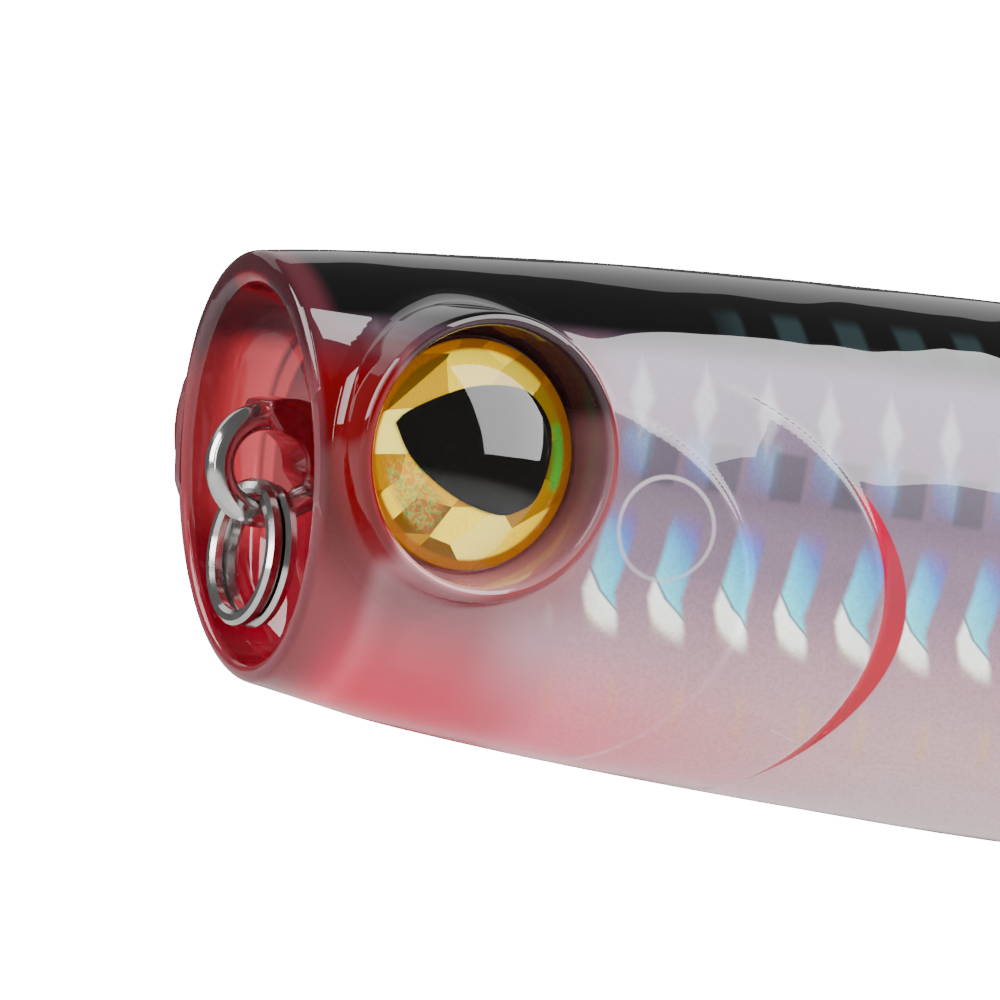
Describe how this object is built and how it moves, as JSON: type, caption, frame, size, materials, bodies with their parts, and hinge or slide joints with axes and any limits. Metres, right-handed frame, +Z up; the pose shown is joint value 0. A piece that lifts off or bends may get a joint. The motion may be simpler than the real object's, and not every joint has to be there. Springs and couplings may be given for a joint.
{
  "type": "topwater popper",
  "caption": "Cup-faced floating lure: two clear shells over foil, domed eyes, through wire with split rings, belly swivel, treble hooks and a rattle tube.",
  "frame": {"origin": "centre of the line-tie loop in the mouth", "axes": "+X from nose to tail, +Z up towards the black back, the fish's left side at -Y"},
  "size_m": [0.1635, 0.029, 0.0869],
  "materials": {
    "clear_red_plastic": "clear moulded plastic, red at the mouth, black along the back",
    "holographic_foil": "lilac holographic foil with a scale pattern",
    "gold_foil": "gold holographic foil with a black pupil",
    "clear_dome": "clear domed lens",
    "stainless_steel": "polished stainless steel wire",
    "nickel_brass": "nickel-plated brass",
    "tube_plastic": "clear extruded tube",
    "lead": "dull cast lead alloy"
  },
  "bodies": {
    "lure": {"shell_left": "clear_red_plastic", "shell_right": "clear_red_plastic", "foil_left": "holographic_foil", "foil_right": "holographic_foil", "eye_disc_left": "gold_foil", "eye_disc_right": "gold_foil", "eye_dome_left": "clear_dome", "eye_dome_right": "clear_dome", "through_wire": "stainless_steel", "swivel_upper_eye": "stainless_steel", "swivel_barrel": "nickel_brass", "rattle_tube": "tube_plastic", "tube_cap_front": "tube_plastic", "tube_cap_rear": "tube_plastic", "belly_weight": "lead"},
    "line_ring": {"line_split_ring": "stainless_steel"},
    "belly_eye": {"swivel_lower_eye": "stainless_steel"},
    "belly_ring": {"belly_split_ring": "stainless_steel"},
    "belly_hook": {"belly_treble": "stainless_steel"},
    "tail_ring": {"tail_split_ring": "stainless_steel"},
    "tail_hook": {"tail_treble": "stainless_steel"},
    "ball_1": {"rattle_ball_1": "stainless_steel"},
    "ball_2": {"rattle_ball_2": "stainless_steel"},
    "ball_3": {"rattle_ball_3": "stainless_steel"}
  },
  "joints": [
    {"name": "line_ring_swing", "type": "hinge", "parent": "lure", "child": "line_ring", "pos_m": [0, 0, 0], "axis": [0, 1, 0], "range_deg": [0, 130]},
    {"name": "swivel_spin", "type": "hinge", "parent": "lure", "child": "belly_eye", "pos_m": [0.066, 0, -0.0203], "axis": [0, 0, 1], "continuous": true},
    {"name": "belly_ring_swing", "type": "hinge", "parent": "belly_eye", "child": "belly_ring", "pos_m": [0.066, 0, -0.0228], "axis": [0, 1, 0], "range_deg": [-60, 60]},
    {"name": "belly_hook_swing", "type": "hinge", "parent": "belly_ring", "child": "belly_hook", "pos_m": [0.066, 0, -0.0294], "axis": [1, 0, 0], "range_deg": [-60, 60]},
    {"name": "tail_ring_swing", "type": "hinge", "parent": "lure", "child": "tail_ring", "pos_m": [0.1445, 0, 0], "axis": [0, 1, 0], "range_deg": [-110, 15]},
    {"name": "tail_hook_swing", "type": "hinge", "parent": "tail_ring", "child": "tail_hook", "pos_m": [0.1445, 0, -0.00531], "axis": [1, 0, 0], "range_deg": [-60, 60]},
    {"name": "ball_1_roll", "type": "slide", "parent": "lure", "child": "ball_1", "axis": [1, 0, 0], "range_m": [-0.009, 0]},
    {"name": "ball_2_roll", "type": "slide", "parent": "lure", "child": "ball_2", "axis": [1, 0, 0], "range_m": [-0.009, 0]},
    {"name": "ball_3_roll", "type": "slide", "parent": "lure", "child": "ball_3", "axis": [1, 0, 0], "range_m": [-0.009, 0]}
  ],
  "couplings": [
    {"joint": "ball_2_roll", "follows": "ball_1_roll", "ratio": 1},
    {"joint": "ball_3_roll", "follows": "ball_1_roll", "ratio": 1}
  ]
}
